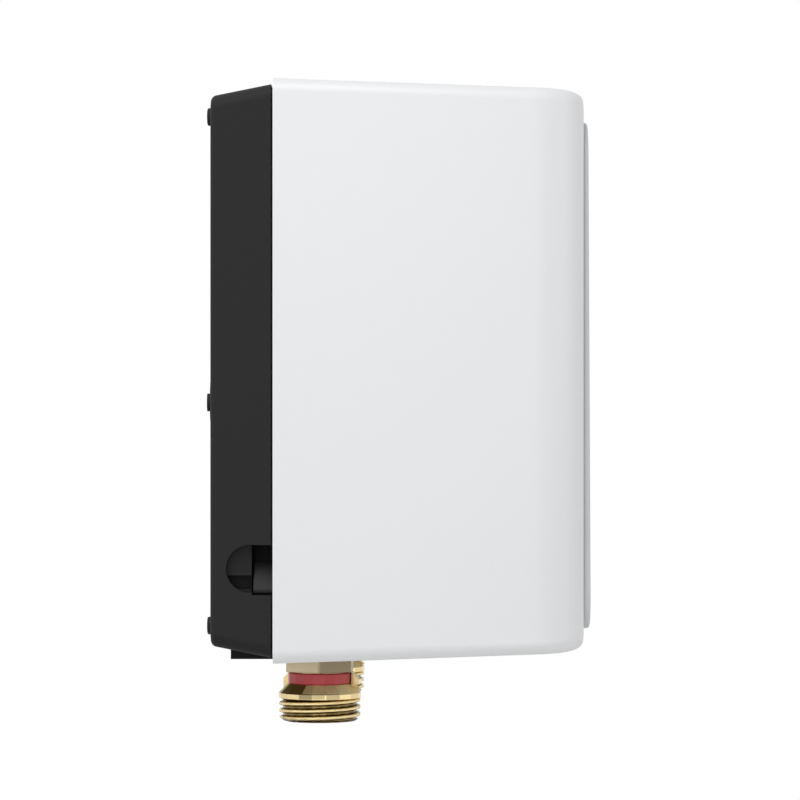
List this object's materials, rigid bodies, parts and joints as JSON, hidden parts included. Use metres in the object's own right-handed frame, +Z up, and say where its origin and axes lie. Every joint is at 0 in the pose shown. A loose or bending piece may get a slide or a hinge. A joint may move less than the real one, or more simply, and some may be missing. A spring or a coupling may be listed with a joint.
{
  "type": "tankless water heater",
  "caption": "Wall-hung electric instantaneous water heater: white snap-off cover over a black back shell, with threaded brass fittings and marking rings below.",
  "frame": {"origin": "middle of the small wall boss at the centre of the back, on the wall plane", "axes": "+Z up, +Y into the wall, the heater stands out from the wall towards -Y, +X to the right as one faces it"},
  "size_m": [0.19, 0.0948, 0.1601],
  "materials": {
    "back_shell": "black moulded plastic, fine matt texture",
    "block_cap": "dark grey glass-filled plastic with steel cap screws",
    "block_gasket": "black rubber sheet",
    "bridge_strap": "stamped copper",
    "cable_grommet": "black rubber",
    "cold_link_pipe": "drawn copper",
    "cold_ring": "blue plastic, satin",
    "connection_plate": "black moulded plastic, matt",
    "cutout_wire": "brown wire insulation",
    "diaphragm": "black rubber sheet",
    "earth_lug": "stamped brass",
    "earth_screw": "bright steel",
    "earth_wire": "green and yellow wire insulation",
    "fitting_clip_left": "bright steel",
    "fitting_clip_right": "bright steel",
    "fitting_seal_left": "black rubber cord ring",
    "fitting_seal_right": "black rubber cord ring",
    "flow_adjuster": "machined brass",
    "flow_limiter": "blue plastic, satin",
    "flow_switch_body": "dark grey glass-filled plastic, matt",
    "flow_switch_lid": "dark grey glass-filled plastic, matt",
    "front_cover": "white moulded plastic, satin gloss, very fine texture",
    "front_fascia": "white moulded plastic, satin gloss",
    "heating_block": "dark grey glass-filled plastic, matt",
    "heating_coil_left": "bright steel",
    "heating_coil_right": "bright steel",
    "hot_link_pipe": "drawn copper",
    "hot_ring": "red plastic, satin",
    "inlet_fitting": "machined brass, fine turning marks",
    "inlet_strainer": "natural plastic mesh, satin",
    "latch_left": "dark grey plastic, satin",
    "latch_pin_left": "bright steel",
    "latch_pin_right": "bright steel",
    "latch_right": "dark grey plastic, satin",
    "latch_spring_left": "bright steel",
    "latch_spring_right": "bright steel",
    "lid_screw_1": "bright steel",
    "lid_screw_2": "bright steel",
    "lid_screw_3": "bright steel",
    "lid_screw_4": "bright steel",
    "live_wire": "brown wire insulation",
    "microswitch": "black plastic with steel tabs",
    "microswitch_button": "red plastic, satin",
    "neutral_wire": "blue wire insulation",
    "outlet_fitting": "machined brass, fine turning marks",
    "outlet_manifold": "dark grey glass-filled plastic, matt",
    "plate_screw_left": "bright steel",
    "plate_screw_right": "bright steel",
    "plunger_spring": "bright steel",
    "reset_button": "red plastic, satin",
    "switch_plunger": "natural plastic, satin",
    "switch_wire": "brown wire insulation",
    "terminal_block": "pale plastic with steel clamp screws",
    "terminal_stud_1": "machined brass with a hexagon nut",
    "terminal_stud_2": "machined brass with a hexagon nut",
    "terminal_stud_3": "machined brass with a hexagon nut",
    "terminal_stud_4": "machined brass with a hexagon nut",
    "thermal_cutout": "pale ceramic-filled plastic with steel tabs"
  },
  "bodies": {
    "housing": {"back_shell": "back_shell", "block_cap": "block_cap", "block_gasket": "block_gasket", "bridge_strap": "bridge_strap", "cable_grommet": "cable_grommet", "cold_link_pipe": "cold_link_pipe", "cold_ring": "cold_ring", "connection_plate": "connection_plate", "cutout_wire": "cutout_wire", "diaphragm": "diaphragm", "earth_lug": "earth_lug", "earth_screw": "earth_screw", "earth_wire": "earth_wire", "fitting_clip_left": "fitting_clip_left", "fitting_clip_right": "fitting_clip_right", "fitting_seal_left": "fitting_seal_left", "fitting_seal_right": "fitting_seal_right", "flow_limiter": "flow_limiter", "flow_switch_body": "flow_switch_body", "flow_switch_lid": "flow_switch_lid", "heating_block": "heating_block", "heating_coil_left": "heating_coil_left", "heating_coil_right": "heating_coil_right", "hot_link_pipe": "hot_link_pipe", "hot_ring": "hot_ring", "inlet_fitting": "inlet_fitting", "inlet_strainer": "inlet_strainer", "latch_pin_left": "latch_pin_left", "latch_pin_right": "latch_pin_right", "latch_spring_left": "latch_spring_left", "latch_spring_right": "latch_spring_right", "lid_screw_1": "lid_screw_1", "lid_screw_2": "lid_screw_2", "lid_screw_3": "lid_screw_3", "lid_screw_4": "lid_screw_4", "live_wire": "live_wire", "microswitch": "microswitch", "neutral_wire": "neutral_wire", "outlet_fitting": "outlet_fitting", "outlet_manifold": "outlet_manifold", "plate_screw_left": "plate_screw_left", "plate_screw_right": "plate_screw_right", "plunger_spring": "plunger_spring", "switch_wire": "switch_wire", "terminal_block": "terminal_block", "terminal_stud_1": "terminal_stud_1", "terminal_stud_2": "terminal_stud_2", "terminal_stud_3": "terminal_stud_3", "terminal_stud_4": "terminal_stud_4", "thermal_cutout": "thermal_cutout"},
    "cover": {"front_cover": "front_cover", "front_fascia": "front_fascia"},
    "latch_left": {"latch_left": "latch_left"},
    "latch_right": {"latch_right": "latch_right"},
    "plunger": {"switch_plunger": "switch_plunger"},
    "switch_button": {"microswitch_button": "microswitch_button"},
    "reset": {"reset_button": "reset_button"},
    "adjuster": {"flow_adjuster": "flow_adjuster"}
  },
  "joints": [
    {"name": "cover_slide", "type": "slide", "parent": "housing", "child": "cover", "axis": [0, -1, 0], "range_m": [0, 0.1]},
    {"name": "latch_left_hinge", "type": "hinge", "parent": "housing", "child": "latch_left", "pos_m": [-0.0862, -0.0118, -0.0323], "axis": [0, -1, 0], "range_deg": [-4, 6], "stiffness_Nm_per_rad": 0.08, "deforming": ["latch_spring_left"]},
    {"name": "latch_right_hinge", "type": "hinge", "parent": "housing", "child": "latch_right", "pos_m": [0.0862, -0.0118, -0.0323], "axis": [0, 1, 0], "range_deg": [-4, 6], "stiffness_Nm_per_rad": 0.08, "deforming": ["latch_spring_right"]},
    {"name": "plunger_slide", "type": "slide", "parent": "housing", "child": "plunger", "axis": [0, -1, 0], "range_m": [0, 0.0016], "stiffness_N_per_m": 200, "deforming": ["plunger_spring", "diaphragm"]},
    {"name": "switch_button_slide", "type": "slide", "parent": "housing", "child": "switch_button", "axis": [0, -1, 0], "range_m": [0, 0.0016]},
    {"name": "reset_slide", "type": "slide", "parent": "housing", "child": "reset", "axis": [0, 1, 0], "range_m": [0, 0.0012], "stiffness_N_per_m": 200},
    {"name": "adjuster_turn", "type": "hinge", "parent": "housing", "child": "adjuster", "pos_m": [0.068, -0.0272, -0.0218], "axis": [1, 0, 0], "range_deg": [0, 270]}
  ],
  "couplings": [
    {"joint": "switch_button_slide", "follows": "plunger_slide", "ratio": 1}
  ]
}
